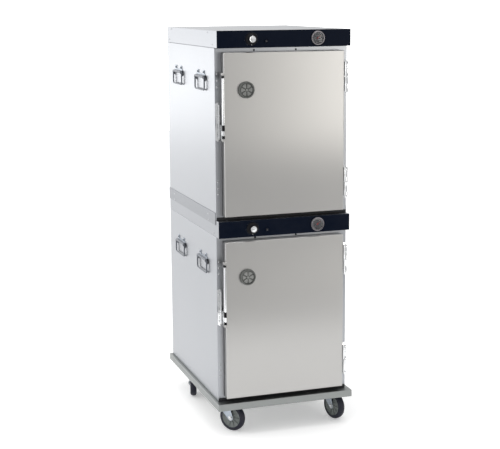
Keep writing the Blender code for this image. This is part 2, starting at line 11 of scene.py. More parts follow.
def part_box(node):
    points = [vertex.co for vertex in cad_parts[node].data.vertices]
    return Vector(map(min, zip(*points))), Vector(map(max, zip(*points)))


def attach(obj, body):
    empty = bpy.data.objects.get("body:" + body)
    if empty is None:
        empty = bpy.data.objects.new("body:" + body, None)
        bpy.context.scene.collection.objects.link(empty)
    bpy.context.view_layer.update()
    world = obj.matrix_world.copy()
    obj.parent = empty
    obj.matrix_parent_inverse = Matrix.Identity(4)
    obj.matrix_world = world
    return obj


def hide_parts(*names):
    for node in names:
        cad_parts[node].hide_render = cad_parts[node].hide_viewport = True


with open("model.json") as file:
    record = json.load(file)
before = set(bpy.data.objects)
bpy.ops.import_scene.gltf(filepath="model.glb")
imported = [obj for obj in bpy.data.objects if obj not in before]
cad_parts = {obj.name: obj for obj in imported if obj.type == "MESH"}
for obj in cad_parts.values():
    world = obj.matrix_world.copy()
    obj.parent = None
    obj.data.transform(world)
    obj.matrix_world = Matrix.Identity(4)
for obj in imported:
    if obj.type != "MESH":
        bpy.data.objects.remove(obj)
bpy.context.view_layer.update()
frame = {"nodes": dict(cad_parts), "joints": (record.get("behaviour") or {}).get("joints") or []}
NODES = frame["nodes"]
JOINTS = {joint["name"]: joint for joint in frame["joints"]}
FIXED = "cabinet_frame"
CABINETS = ("lower", "upper")
CORNERS = ("front_left", "front_right", "rear_left", "rear_right")
UP = Vector((0, 0, 1))
FRONT = Vector((0, -1, 0))
TINY = 0.0003  # a gap that keeps two faces out of one plane
SCALE_SWEEP = 270  # degrees that the marks of a dial cover
SCREW = RIVET = (0.0036, 0.0018)  # radius and height of a usual head
BOW_CREST, BOW_PITCH = 0.47, 0.837  # height of the lower door's middle, and from there to the upper's
ROOM_LIGHT, SWEEP_LIGHT, OVERHEAD_LIGHT = 0.56, 2.45, 0.22  # strengths within the world
FLOOR_FRONT, FLOOR_REACH = -2.4, 12


# ------ node materials
class Nodes:
    """A node tree with short calls; each value is a number, a tuple or another node's output."""

    def __init__(self, tree):
        self.tree = tree

    def feed(self, node, **values):
        """Set a node's inputs by name, with _ for a space."""
        for key, value in values.items():
            self.plug(node.inputs[key.replace("_", " ")], value)

    def plug(self, socket, value):
        if isinstance(value, bpy.types.NodeSocket):
            self.tree.links.new(value, socket)
        else:
            socket.default_value = value

    def add(self, kind, **values):
        node = self.tree.nodes.new("ShaderNode" + kind)
        self.feed(node, **values)
        return node

    def texture(self, scale, stretch=(1, 1, 1), kind="TexNoise", output="Fac", **values):
        """A procedural texture in object space, stretched along the axes."""
        coords = self.add("TexCoord").outputs["Object"]
        place = self.add("Mapping", Vector=coords, Scale=stretch).outputs["Vector"]
        return self.add(kind, Vector=place, Scale=scale, **values).outputs[output]

    def remap(self, value, low, high, from_low=0.0, from_high=1.0):
        """The value, moved from one range to another."""
        return self.add("MapRange", Value=value, From_Min=from_low, From_Max=from_high,
                        To_Min=low, To_Max=high).outputs["Result"]

    def math(self, operation, first, second=0.0):
        node = self.add("Math")
        node.operation = operation
        self.plug(node.inputs[0], first)
        self.plug(node.inputs[1], second)
        return node.outputs[0]

    def mix(self, factor, low, high):
        """A colour between two, chosen by factor."""
        node = self.add("Mix")
        node.data_type = "RGBA"
        self.feed(node, Factor=factor, A=(*low, 1), B=(*high, 1))
        return node.outputs["Result"]


class Look(Nodes):
    """A new material and its Principled shader."""

    def __init__(self, name):
        self.material = bpy.data.materials.new(name)
        self.material.use_nodes = True
        super().__init__(self.material.node_tree)
        self.shader = self.tree.nodes["Principled BSDF"]

    def bump(self, height, strength, distance):
        node = self.add("Bump", Height=height, Strength=strength, Distance=distance)
        self.feed(self.shader, Normal=node.outputs["Normal"])


def scaled(colour, amount):
    return tuple(min(1.0, channel * amount) for channel in colour)


def brushed(name, colour, roughness, along, grain, smudge, mottle, wave=0.0, pillow=0.0):
    """Brushed sheet: fine streaks along one axis, and faint smudges.

    grain and smudge change the roughness and mottle the colour. The sheet is slightly wavy, or
    each door's bulges by pillow metres at its middle.
    """
    look = Look(name)
    stretch = {"X": (0.02, 1, 1), "Y": (1, 0.02, 1), "Z": (1, 1, 0.02)}[along]
    fine = look.texture(1300, stretch, Detail=2.0)
    coarse = look.texture(620, stretch, Detail=1.0)
    cloud = look.texture(2.4, Detail=1.0, Roughness=0.4)
    streaks = look.math("ADD", look.remap(fine, -0.4, 0.4, 0.3, 0.7),
                        look.remap(coarse, -0.3, 0.3, 0.3, 0.7))
    smear = look.remap(cloud, -1.0, 1.0)
    tone = look.math("ADD", look.math("MULTIPLY", streaks, 0.2), look.math("MULTIPLY", smear, 0.35))
    rough = look.math("ADD", look.math("MULTIPLY", streaks, grain), look.math("MULTIPLY", smear, smudge))
    look.feed(look.shader, Metallic=1.0, Roughness=look.math("ADD", rough, roughness),
              Base_Color=look.mix(look.remap(tone, 0.0, 1.0, -0.7, 0.7),
                                  scaled(colour, 1 - mottle), scaled(colour, 1 + mottle)))
    if pillow:
        look.feed(look.shader, Normal=bowed_normal(look, pillow))
    else:
        look.bump(look.texture(2.6, (1, 1, 0.7), Detail=0.0), wave, 0.01)
    return look.material


def bowed_normal(look, pillow):
    """The surface's direction on a sheet that bows outwards by pillow metres over each door."""
    turns = math.tau / BOW_PITCH
    height = look.add("SeparateXYZ", Vector=look.add("TexCoord").outputs["Object"]).outputs["Z"]
    angle = look.math("MULTIPLY", look.math("SUBTRACT", height, BOW_CREST), turns)
    tilt = look.add("CombineXYZ", Z=look.math("MULTIPLY", look.math("SINE", angle), pillow / 2 * turns))
    lean = look.add("VectorMath")
    look.plug(lean.inputs[0], look.add("NewGeometry").outputs["Normal"])
    look.plug(lean.inputs[1], tilt.outputs["Vector"])
    unit = look.add("VectorMath")
    unit.operation = "NORMALIZE"
    look.plug(unit.inputs[0], lean.outputs["Vector"])
    return unit.outputs["Vector"]


def polished(name, colour, roughness):
    """Plated or polished metal with hairline scratches and finger marks."""
    look = Look(name)
    marks = look.texture(26.0, Detail=5.0, Roughness=0.65)
    scratches = look.texture(420.0, (1, 1, 0.08), Detail=3.0)
    rough = look.math("ADD", look.remap(marks, 0.0, 0.1, 0.35, 0.75),
                      look.remap(scratches, -0.02, 0.05, 0.35, 0.7))
    look.feed(look.shader, Metallic=1.0, Roughness=look.math("ADD", rough, roughness),
              Base_Color=look.mix(marks, scaled(colour, 0.9), scaled(colour, 1.06)))
    look.bump(scratches, 0.15, 0.0002)
    return look.material


def galvanised(name, colour, roughness):
    """Zinc plate: blotchy crystals with dull and bright patches."""
    look = Look(name)
    crystals = look.texture(260.0, kind="TexVoronoi", output="Distance", Randomness=1.0)
    cloud = look.texture(38.0, Detail=4.0)
    mixed = look.math("ADD", look.remap(crystals, 0.0, 0.45), look.remap(cloud, 0.0, 0.6, 0.3, 0.7))
    look.feed(look.shader, Metallic=1.0, Roughness=look.remap(mixed, roughness - 0.07, roughness + 0.1),
              Base_Color=look.mix(mixed, scaled(colour, 0.8), scaled(colour, 1.12)))
    look.bump(mixed, 0.2, 0.0003)
    return look.material


def moulded(name, colour, roughness, dust=0.05, pores=700.0, gloss=0.5):
    """Plastic or rubber with a fine moulded texture and a little dust in patches."""
    look = Look(name)
    fine = look.texture(pores, Detail=2.0)
    cloud = look.texture(18.0, Detail=5.0, Roughness=0.6)
    pale = tuple(channel + dust * (0.9 - channel) for channel in colour)
    spread = look.math("ADD", look.remap(fine, -0.05, 0.05, 0.3, 0.7),
                       look.remap(cloud, -0.06, 0.08, 0.3, 0.7))
    look.feed(look.shader, Specular_IOR_Level=gloss, Roughness=look.math("ADD", spread, roughness),
              Base_Color=look.mix(look.remap(cloud, 0.0, 0.9, 0.4, 0.75), colour, pale))
    look.bump(fine, 0.3, 0.0002)
    return look.material


def lens(name, colour, transmission, roughness, ior=1.45):
    """Clear or tinted plastic with faint surface haze."""
    look = Look(name)
    haze = look.texture(90.0, Detail=3.0)
    look.feed(look.shader, Transmission_Weight=transmission, IOR=ior,
              Roughness=look.remap(haze, roughness, roughness + 0.06, 0.3, 0.7),
              Base_Color=look.mix(haze, scaled(colour, 0.94), colour))
    return look.material


LOOKS = {
    "casing": brushed("casing_sheet", (0.385, 0.398, 0.42), 0.31, "Z", 0.012, 0.022, 0.008, wave=0.06),
    "cap": brushed("cap_sheet", (0.335, 0.347, 0.37), 0.31, "Y", 0.012, 0.022, 0.008, wave=0.05),
    "door": brushed("door_sheet", (0.465, 0.46, 0.45), 0.31, "Z", 0.012, 0.02, 0.008, pillow=0.012),
    "liner": brushed("liner_sheet", (0.8, 0.81, 0.82), 0.36, "Y", 0.02, 0.05, 0.02, wave=0.05),
    # darker copy of the casing's brushed steel: painted shade for the band's darker look
    "band": brushed("band_sheet", (0.28, 0.29, 0.31), 0.36, "Y", 0.03, 0.05, 0.03, wave=0.05),
    "base": brushed("base_sheet", (0.275, 0.288, 0.283), 0.4, "X", 0.04, 0.07, 0.04, wave=0.1),
    "chrome": polished("polished_plate", (0.8, 0.81, 0.82), 0.08),
    "screw": polished("screw_steel", (0.58, 0.59, 0.6), 0.2),
    "zinc": galvanised("zinc_plate", (0.4, 0.44, 0.49), 0.36),
    "handle": galvanised("handle_steel", (0.17, 0.18, 0.2), 0.36),
    "fascia": moulded("fascia_overlay", (0.0018, 0.0045, 0.013), 0.34, 0.004, 1200.0, 0.05),
    "black": moulded("black_plastic", (0.004, 0.004, 0.006), 0.42, 0.01, 700.0, 0.14),
    "grey": moulded("grey_plastic", (0.085, 0.09, 0.083), 0.42, 0.06),
    "disc": moulded("vent_disc", (0.2, 0.205, 0.195), 0.4, 0.1),
    # real gasket rubber, also used as painted shade in the strip below each door
    "rubber": moulded("gasket_rubber", (0.01, 0.011, 0.014), 0.62, 0.02),
    "tyre": moulded("tyre_rubber", (0.009, 0.01, 0.02), 0.46, 0.02, 700.0, 0.25),
    "hub": moulded("hub_plastic", (0.12, 0.135, 0.13), 0.42, 0.08),
    "bezel": polished("bezel_metal", (0.22, 0.21, 0.225), 0.24),
    "dial": moulded("dial_face", (0.075, 0.072, 0.08), 0.42, 0.03),
    "ink": moulded("dial_ink", (0.62, 0.63, 0.64), 0.5, 0.02),
    "print": moulded("scale_print", (0.09, 0.1, 0.12), 0.5, 0.02),
    "red": moulded("pointer_red", (0.42, 0.02, 0.02), 0.42, 0.02),
    "glass": lens("dial_lens", (0.96, 0.97, 0.97), 1.0, 0.01, 1.2),
    "lamp": lens("lamp_lens", (0.03, 0.03, 0.04), 0.3, 0.2),
    "sheath": galvanised("heater_sheath", (0.17, 0.15, 0.14), 0.46),
}


# ------ shapes added to a bmesh
def turn_to(axis):
    return Vector(axis).to_track_quat("Z", "Y").to_matrix().to_4x4()


def add_block(work, low, high, radius=0.0, segments=3, place=Matrix()):
    """A box between two corners, moved by place, its edges rounded by radius."""
    low, high = Vector(low), Vector(high)
    shape = place @ Matrix.Translation((low + high) / 2) @ Matrix.Diagonal((*(high - low), 1))
    made = bmesh.ops.create_cube(work, size=1.0, matrix=shape)["verts"]
    if radius:
        edges = list(dict.fromkeys(edge for vert in made for edge in vert.link_edges))
        bmesh.ops.bevel(work, geom=edges, offset=radius, segments=segments, profile=0.5, affect="EDGES")


def add_band(work, ring, following):
    """Faces between two matching rings of vertices."""
    for k in range(len(ring)):
        m = (k + 1) % len(ring)
        work.faces.new((ring[k], ring[m], following[m], following[k]))


def add_prism(work, near, far):
    """Two matching rings of vertices, each closed by a face, and the band between them."""
    work.faces.new(near)
    work.faces.new(far)
    add_band(work, near, far)


def add_turned(work, profile, origin, axis, sides=48, wobble=None):
    """A profile of (radius, height) turned about an axis; ends at radius 0 close to a point.

    wobble(angle, radius) can change a ring's radius as it goes round.
    """
    place = Matrix.Translation(origin) @ turn_to(axis)
    rings = []
    for radius, height in profile:
        if radius == 0:
            rings.append([work.verts.new(place @ Vector((0, 0, height)))])
            continue
        ring = []
        for k in range(sides):
            angle = math.tau * k / sides
            reach = wobble(angle, radius) if wobble else radius
            ring.append(work.verts.new(
                place @ Vector((reach * math.cos(angle), reach * math.sin(angle), height))))
        rings.append(ring)
    closed = profile[0][0] > 0 and profile[-1][0] > 0
    pairs = list(zip(rings, rings[1:])) + ([(rings[-1], rings[0])] if closed else [])
    for ring, following in pairs:
        for k in range(sides):
            m = (k + 1) % sides
            corners = [ring[k % len(ring)], ring[m % len(ring)],
                       following[m % len(following)], following[k % len(following)]]
            unique = list(dict.fromkeys(corners))
            if len(unique) > 2:
                work.faces.new(unique)


def arc(centre, radius, start, end, steps):
    """Points of an arc, angles in degrees."""
    angles = [math.radians(start + (end - start) * i / steps) for i in range(steps + 1)]
    return [(centre[0] + radius * math.cos(a), centre[1] + radius * math.sin(a)) for a in angles]


def mirrored(profile):
    """A profile of (radius, height) followed by its mirror image below."""
    return profile + [(radius, -height) for radius, height in reversed(profile)]


def rectangle(low, high):
    """The corners of a 2-D rectangle, starting at its low one."""
    return [low, (high[0], low[1]), high, (low[0], high[1])]


def centred(middle, half_width, half_height):
    """The corners of a 2-D rectangle round its middle."""
    return rectangle((middle[0] - half_width, middle[1] - half_height),
                     (middle[0] + half_width, middle[1] + half_height))


def bend(start, here, end, steps):
    """Points of the curve from start to end whose two tangents meet at here."""
    return [start * (1 - t) ** 2 + here * (2 * t * (1 - t)) + end * t ** 2
            for t in (k / steps for k in range(steps + 1))]


def rounded(corners, radius, steps=5):
    """The corners of a 2-D outline, each replaced by an arc; radius may be one per corner."""
    out = []
    for i, corner in enumerate(corners):
        here = Vector(corner)
        before = Vector(corners[i - 1]) - here
        after = Vector(corners[(i + 1) % len(corners)]) - here
        size = radius[i] if isinstance(radius, (list, tuple)) else radius
        half = before.angle(after) / 2
        cut = min(size / math.tan(half), before.length * 0.49, after.length * 0.49) if size else 0
        if cut <= 0:
            out.append(tuple(here))
            continue
        start, end = here + before.normalized() * cut, here + after.normalized() * cut
        out += [tuple(point) for point in bend(start, here, end, steps)]
    return out


def add_plate(work, outline, axis, low, high, radius=0.0, segments=2):
    """A 2-D outline extruded along axis 0, 1 or 2, with its rims rounded by radius."""
    near, far = ([work.verts.new((*point[:axis], depth, *point[axis:])) for point in outline]
                 for depth in (low, high))
    add_prism(work, near, far)
    if radius:
        rims = [work.edges.get((ring[i - 1], ring[i])) for i in range(len(outline)) for ring in (near, far)]
        bmesh.ops.bevel(work, geom=rims, offset=radius, segments=segments, profile=0.5,
                        affect="EDGES", clamp_overlap=True)


def filleted(points, radius, steps):
    """A 3-D line through points with its bends rounded."""
    points = [Vector(point) for point in points]
    out = [points[0]]
    for before, here, after in zip(points, points[1:], points[2:]):
        back, ahead = before - here, after - here
        cut = min(radius, back.length * 0.49, ahead.length * 0.49)
        out += bend(here + back.normalized() * cut, here, here + ahead.normalized() * cut, steps)
    return out + [points[-1]]


def add_tube(work, points, radius, sides=16, dome=True):
    """A round rod along points, with slightly domed ends."""
    points = [Vector(point) for point in points]
    if dome:
        lead = (points[0] - points[1]).normalized()
        tail = (points[-1] - points[-2]).normalized()
        inset = radius * 0.35
        points = [points[0], points[0] - lead * inset, *points[1:-1], points[-1] - tail * inset, points[-1]]
    runs = [(far - near).normalized() for near, far in zip(points, points[1:])]
    side = runs[0].orthogonal().normalized()
    rings = []
    for i, point in enumerate(points):
        arrive = runs[max(i - 1, 0)]
        leave = runs[min(i, len(runs) - 1)]
        mitre = (arrive + leave).normalized()
        other = arrive.cross(side)
        size = radius * (0.65 if dome and i in (0, len(points) - 1) else 1.0)
        ring = []
        for k in range(sides):
            angle = math.tau * k / sides
            offset = (side * math.cos(angle) + other * math.sin(angle)) * size
            offset -= arrive * (offset.dot(mitre) / arrive.dot(mitre))
            ring.append(work.verts.new(point + offset))
        rings.append(ring)
        side = arrive.rotation_difference(leave) @ side
    for ring, following in zip(rings, rings[1:]):
        add_band(work, ring, following)
    work.faces.new(rings[0])
    work.faces.new(rings[-1])


def add_screw(work, point, normal, radius, height):
    """Pan head with a cross recess, standing on a surface at point."""
    place = Matrix.Translation(point) @ turn_to(normal)
    sides = 32
    arm, width = radius * 0.55, radius * 0.16

    def ring(size, level, crossed=False):
        verts = []
        for k in range(sides):
            angle = math.tau * (k + 0.5) / sides
            c, s = abs(math.cos(angle)), abs(math.sin(angle))
            reach = size
            if crossed:
                reach = size * max(min(arm / c, width / s), min(arm / s, width / c))
            verts.append(work.verts.new(place @ Vector(
                (reach * math.cos(angle), reach * math.sin(angle), level))))
        return verts

    rings = [ring(radius, 0), ring(radius, height * 0.45), ring(radius * 0.86, height * 0.85),
             ring(radius * 0.66, height), ring(1.0, height, True), ring(0.75, height * 0.25, True)]
    for lower, upper in zip(rings, rings[1:]):
        add_band(work, lower, upper)
    work.faces.new(rings[0])
    work.faces.new(rings[-1])


def add_rivet(work, point, normal, radius, height):
    """Domed blind rivet with a dimple."""
    add_turned(work, [(0, 0), (radius, 0), (radius, height * 0.25), (radius * 0.88, height * 0.65),
                      (radius * 0.62, height * 0.93), (radius * 0.4, height), (radius * 0.3, height * 0.86),
                      (0, height * 0.8)], point, normal, 24)


def mesh_object(name, work, material):
    """The bmesh as an object in the scene, in one material."""
    mesh = bpy.data.meshes.new(name)
    work.to_mesh(mesh)
    work.free()
    mesh.materials.append(material)
    made = bpy.data.objects.new(name, mesh)
    bpy.context.scene.collection.objects.link(made)
    return made


def piece(name, work, look, body=FIXED, smooth=38, replaced=()):
    """An object from a bmesh, riding on a body and standing for the replaced CAD nodes."""
    bmesh.ops.remove_doubles(work, verts=work.verts, dist=0.000001)
    bmesh.ops.recalc_face_normals(work, faces=work.faces)
    made = mesh_object(name, work, LOOKS[look])
    made.data.shade_smooth()
    made.data.set_sharp_from_angle(angle=math.radians(smooth))
    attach(made, body)
    if replaced:
        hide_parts(*replaced)


def dress(node, look, edge, segments):
    """Give a CAD node its material and soften its sharp edges."""
    kept = NODES[node]
    kept.data.materials.clear()
    kept.data.materials.append(LOOKS[look])
    kept.modifiers.new("weld", "WELD").merge_threshold = 0.00001
    soften = kept.modifiers.new("soften", "BEVEL")
    soften.width = edge
    soften.segments = segments
    soften.limit_method = "ANGLE"
    soften.angle_limit = math.radians(30)


# ------ controls on the fascia
def knob(prefix):
    """Fluted black skirt with a spun metal centre and a pointer line."""
    at = Vector(JOINTS[prefix + "_knob_turn"]["pos_m"])
    low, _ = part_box(prefix + "_thermostat_knob")
    reach = at.y - low.y
    skirt = at.x - low.x
    stem, grip, flutes = 0.0035, 0.0178, 20
    body = prefix + "_knob"
    work = bmesh.new()

    def fluted(angle, radius):
        if radius < skirt * 0.7 or radius > skirt * 0.93:
            return radius
        return radius * (1 - 0.035 * (0.5 + 0.5 * math.cos(angle * flutes)))

    add_turned(work, [(0, -0.0195), (stem, -0.0195), (stem, 0.0012), (skirt, 0.0012), (skirt, 0.0036),
                      (skirt * 0.98, 0.005), (skirt * 0.92, 0.0062), (skirt * 0.8, 0.0075),
                      (skirt * 0.72, 0.01), (grip, 0.015), (grip - 0.0004, reach - 0.0024),
                      (grip - 0.0014, reach - 0.001), (0, reach - 0.001)], at, FRONT, 120, fluted)
    piece(prefix + "_knob_skirt", work, "black", body,
          replaced=(prefix + "_thermostat_knob",))

    work = bmesh.new()
    rings = [(0, reach - 0.0012), (0.014, reach - 0.0012), (0.0142, reach - 0.0004), (0.0138, reach)]
    for k in range(7):
        radius = 0.0124 - k * 0.0016
        rings += [(radius, reach - 0.0001), (radius - 0.0005, reach - 0.00045)]
    rings.append((0, reach - 0.0004))
    add_turned(work, rings, at, FRONT, 64)
    piece(prefix + "_knob_centre", work, "chrome", body, 20)

    work = bmesh.new()
    add_block(work, (at.x - 0.0009, at.y - 0.0066, at.z - skirt * 0.985),
              (at.x + 0.0009, at.y - 0.0046, at.z - skirt * 0.76), 0.0003, 2)
    piece(prefix + "_knob_pointer", work, "ink", body)


def add_hand(work, centre, angle, outline, low, high):
    """An outline of (outwards, sideways) points on a dial, turned by angle, between two heights."""
    along = Vector((math.sin(angle), 0, math.cos(angle)))
    across = Vector((math.cos(angle), 0, -math.sin(angle)))
    near, far = ([work.verts.new(centre + along * a + across * b + FRONT * height) for a, b in outline]
                 for height in (low, high))
    add_prism(work, near, far)


def scale_marks(work, centre, inner, outer, count, start, width, raised):
    """Radial marks round a dial that faces the front; every fifth is longer and wider."""
    for k in range(count):
        fifth = k % 5 == 0
        reach = outer if fifth else outer - (outer - inner) * 0.4
        thick = width * (1.5 if fifth else 1.0)
        add_hand(work, centre, math.radians(start + SCALE_SWEEP * k / (count - 1)),
                 rectangle((inner, -thick), (reach, thick)), 0, raised)


def thermometer(prefix):
    """Dial with bezel, ticked face, pointer on a boss and a domed lens."""
    name = prefix + "_thermometer"
    low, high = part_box(name)
    face_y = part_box(prefix + "_fascia")[0].y
    at = Vector(((low.x + high.x) / 2, face_y, (low.z + high.z) / 2))
    radius = (high.x - low.x) / 2
    work = bmesh.new()
    add_turned(work, [(radius - 0.0062, 0.0004), (radius - 0.0064, 0.0044), (radius - 0.0046, 0.0056),
                      (radius - 0.003, 0.006), (radius - 0.0012, 0.0056), (radius, 0.004),
                      (radius, 0.0004), (radius - 0.006, 0.00035)], at, FRONT, 72)
    add_turned(work, [(0, -0.0175), (0.0235, -0.0175), (0.0255, -0.016), (0.0255, 0.0006), (0, 0.0006)],
               at, FRONT, 48)
    piece(name + "_bezel", work, "bezel", replaced=(name,))
    work = bmesh.new()
    add_turned(work, [(0, 0.0007), (radius - 0.0062, 0.0007), (radius - 0.0062, 0.0013),
                      (radius - 0.009, 0.0016), (0, 0.0016)], at, FRONT, 64)
    piece(name + "_face", work, "dial")
    work = bmesh.new()
    face = at + FRONT * 0.00162
    scale_marks(work, face, radius - 0.0125, radius - 0.0085, 41, -135, 0.00022, 0.00012)
    scale_marks(work, face, radius - 0.019, radius - 0.0168, 21, -135, 0.00018, 0.00012)
    piece(name + "_scale", work, "ink")
    work = bmesh.new()
    outline = [(-0.006, -0.0012), (-0.006, 0.0012), (0.0165, 0.0005), (0.0185, 0.0), (0.0165, -0.0005)]
    reading = math.radians(52)
    add_hand(work, at, reading, outline, 0.0023, 0.0027)
    add_turned(work, [(0, 0.0017), (0.003, 0.0017), (0.003, 0.0026), (0.0024, 0.0032), (0, 0.0034)],
               at, FRONT, 32)
    piece(name + "_pointer", work, "red")
    work = bmesh.new()
    inner = radius - 0.0066
    add_turned(work, [(0, 0.005), (inner * 0.5, 0.0048), (inner * 0.85, 0.0043), (inner, 0.0038),
                      (inner, 0.003), (inner * 0.85, 0.0035), (inner * 0.5, 0.004), (0, 0.0042)],
               at, FRONT, 64)
    piece(name + "_lens", work, "glass")


def fascia_details(prefix):
    """Printed scale round the knob, and the pilot lamp in its bezel."""
    face_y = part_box(prefix + "_fascia")[0].y
    at = Vector(JOINTS[prefix + "_knob_turn"]["pos_m"])
    dress(prefix + "_fascia", "fascia", 0.0004, 2)
    work = bmesh.new()
    scale_marks(work, Vector((at.x, face_y + 0.00002, at.z)), 0.0292, 0.0328, 28, -150, 0.00028, 0.00008)
    piece(prefix + "_knob_scale", work, "print")
    lamp = Vector((at.x + 0.069, face_y, at.z - 0.0095))
    work = bmesh.new()
    add_turned(work, [(0.0056, TINY), (0.0058, 0.0022), (0.0066, 0.003), (0.0078, 0.0026), (0.0082, 0.001),
                      (0.0082, TINY)], lamp, FRONT, 40)
    piece(prefix + "_pilot_lamp_bezel", work, "fascia")
    work = bmesh.new()
    add_turned(work, [(0, 0.0001), (0.0054, 0.0001), (0.0054, 0.0028), (0.0046, 0.004), (0.0026, 0.0047),
                      (0, 0.0049)], lamp, FRONT, 32)
    piece(prefix + "_pilot_lamp_lens", work, "lamp")


# ------ door and its fittings
def vent(prefix):
    """Knurled ring with a slotted disc behind it, on a tubular spigot."""
    at = Vector(JOINTS[prefix + "_vent_turn"]["pos_m"])
    low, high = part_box(prefix + "_door_vent")
    radius = (high.x - low.x) / 2 * 0.95
    reach = at.y - low.y
    back = high.y - at.y
    body = prefix + "_vent"

    def knurled(angle, size):
        if size < radius * 0.93:
            return size
        return size * (1 - 0.022 * (0.5 + 0.5 * math.cos(angle * 36)))

    work = bmesh.new()
    bore = 0.0262
    add_turned(work, [(bore, 0.0006), (radius, 0.0006), (radius, reach - 0.005),
                      (radius * 0.965, reach - 0.0022), (radius * 0.9, reach - 0.0004),
                      (radius * 0.86, reach), (radius * 0.82, reach - 0.0006),
                      (radius * 0.8, reach - 0.003), (radius * 0.79, 0.006), (bore, 0.005)],
               at, FRONT, 144, knurled)
    add_turned(work, [(bore, 0.004), (bore, -back), (0.025, -back), (0.0244, 0.004)], at, FRONT, 48)
    add_turned(work, [(0, 0.0045), (radius * 0.8, 0.0045), (radius * 0.8, 0.0062), (0, 0.0062)],
               at, FRONT, 64)
    piece(prefix + "_vent_ring", work, "grey", body, replaced=(prefix + "_door_vent",))

    work = bmesh.new()
    petals = 6
    inner_edge, outer_edge = (-0.3, 0, 0.3), (0.4, 0.2, 0, -0.2, -0.4)
    for k in range(petals):
        middle = math.tau * (k + 0.5) / petals
        outline = []
        for size, turns in ((radius * 0.2, inner_edge), (radius * 0.72, outer_edge)):
            outline += [(at.x + size * math.sin(middle + turn), at.z + size * math.cos(middle + turn))
                        for turn in turns]
        add_plate(work, rounded(outline, 0.0016, 3), 1, at.y - 0.0092, at.y - 0.0058, 0.001, 3)
    add_turned(work, [(0, 0.0058), (0.0058, 0.0058), (0.0058, 0.0104), (0.0046, 0.0118), (0, 0.0122)],
               at, FRONT, 40)
    piece(prefix + "_vent_petals", work, "disc", body)


def gasket(prefix):
    """Bulb gasket: a rounded bead with two lips, mitred at the corners."""
    low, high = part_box(prefix + "_door_gasket")
    leaf = prefix + "_door_leaf"
    thick = high.y - low.y
    section = [(0.0, 0.0), (0.0, 0.3), (0.0015, 0.45), (0.004, 0.8), (0.0065, 0.97), (0.0085, 0.97),
               (0.0108, 0.8), (0.0128, 0.45), (0.014, 0.3), (0.014, 0.0)]
    work = bmesh.new()
    corners = [(low.x, low.z, 1, 1), (high.x, low.z, -1, 1), (high.x, high.z, -1, -1),
               (low.x, high.z, 1, -1)]
    rings = [[work.verts.new((x + sx * inset, low.y + thick * rise, z + sz * inset))
              for inset, rise in section] for x, z, sx, sz in corners]
    for ring, following in zip(rings, rings[1:] + rings[:1]):
        add_band(work, ring, following)
    piece(prefix + "_gasket_bead", work, "rubber", leaf, 50,
          replaced=(prefix + "_door_gasket",))


def hinge(prefix, where):
    """Edge-mount hinge: banded upper knuckle on the door, plain lower knuckle on the frame."""
    bracket, strap = f"{prefix}_hinge_bracket_{where}", f"{prefix}_hinge_strap_{where}"
    axis = Vector(JOINTS[prefix + "_door_swing"]["pos_m"])
    low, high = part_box(bracket)
    strap_low, strap_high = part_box(strap)
    split = (strap_low.z + strap_high.z) / 2
    radius = 0.009
    leaf = prefix + "_door_leaf"

    work = bmesh.new()
    foot = Vector((axis.x, axis.y, low.z))
    rise = split - low.z - 0.001
    add_turned(work, [(0, 0), (0.0042, 0.0), (0.007, 0.0012), (0.0082, 0.004), (0.0084, 0.01),
                      (radius - 0.0003, 0.0125), (radius - 0.0003, 0.014), (0.0084, 0.015),
                      (0.0084, rise - 0.003), (radius, rise - 0.002), (radius, rise), (0, rise)],
               foot, UP, 40)
    add_block(work, (axis.x - 0.001, axis.y, low.z + 0.008),
              (axis.x + 0.0045, high.y - 0.001, split - 0.002), 0.0008)
    plate_left, plate_low = 0.2845, high.y - 0.0025
    outline = rounded(rectangle((plate_left, low.z + 0.004), (high.x, high.z)), 0.003)
    add_plate(work, outline, 1, plate_low, high.y, 0.0006)
    add_tube(work, [(axis.x, axis.y, split - 0.002), (axis.x, axis.y, strap_high.z - 0.013)], 0.0033, 20)
    piece(bracket + "_body", work, "chrome", replaced=(bracket,))

    work = bmesh.new()
    crown = Vector((axis.x, axis.y, split + TINY))
    rise = strap_high.z - 0.003 - split - TINY
    bands = []
    for start in (0.55, 0.7):
        bands += [(radius - 0.0002, rise * start), (0.008, rise * (start + 0.015)),
                  (0.008, rise * (start + 0.05)), (radius - 0.0002, rise * (start + 0.065))]
    add_turned(work, [(0.004, 0), (radius, 0), (radius, 0.002), (0.0086, 0.003), (0.0086, rise * 0.53)]
               + bands + [(radius - 0.0002, rise - 0.003), (0.0076, rise - 0.0008), (0.005, rise),
                          (0.003, rise), (0.003, rise - 0.0065), (0.004, rise - 0.007)],
               crown, UP, 40)
    add_block(work, (strap_low.x + 0.0002, axis.y - 0.004, split + 0.004),
              (strap_low.x + 0.0035, axis.y + 0.012, strap_high.z - 0.004), 0.0006)
    outline = rounded(rectangle((strap_low.y + 0.015, strap_low.z), (strap_high.y, strap_high.z)), 0.003)
    add_plate(work, outline, 0, strap_low.x, strap_low.x + 0.0022, 0.0005)
    piece(strap + "_body", work, "chrome", leaf, replaced=(strap,))

    work = bmesh.new()
    for fraction in (0.14, 0.5, 0.86):
        z = strap_low.z + (strap_high.z - strap_low.z) * fraction
        add_screw(work, (high.x - 0.0052, plate_low, z), FRONT, *SCREW)
    piece(bracket + "_screws", work, "screw")
    work = bmesh.new()
    for fraction in (0.16, 0.84):
        z = strap_low.z + (strap_high.z - strap_low.z) * fraction
        add_screw(work, (strap_low.x + 0.0022, strap_high.y - 0.0058, z), (1, 0, 0), 0.0034, 0.0014)
    piece(strap + "_screws", work, "screw", leaf)


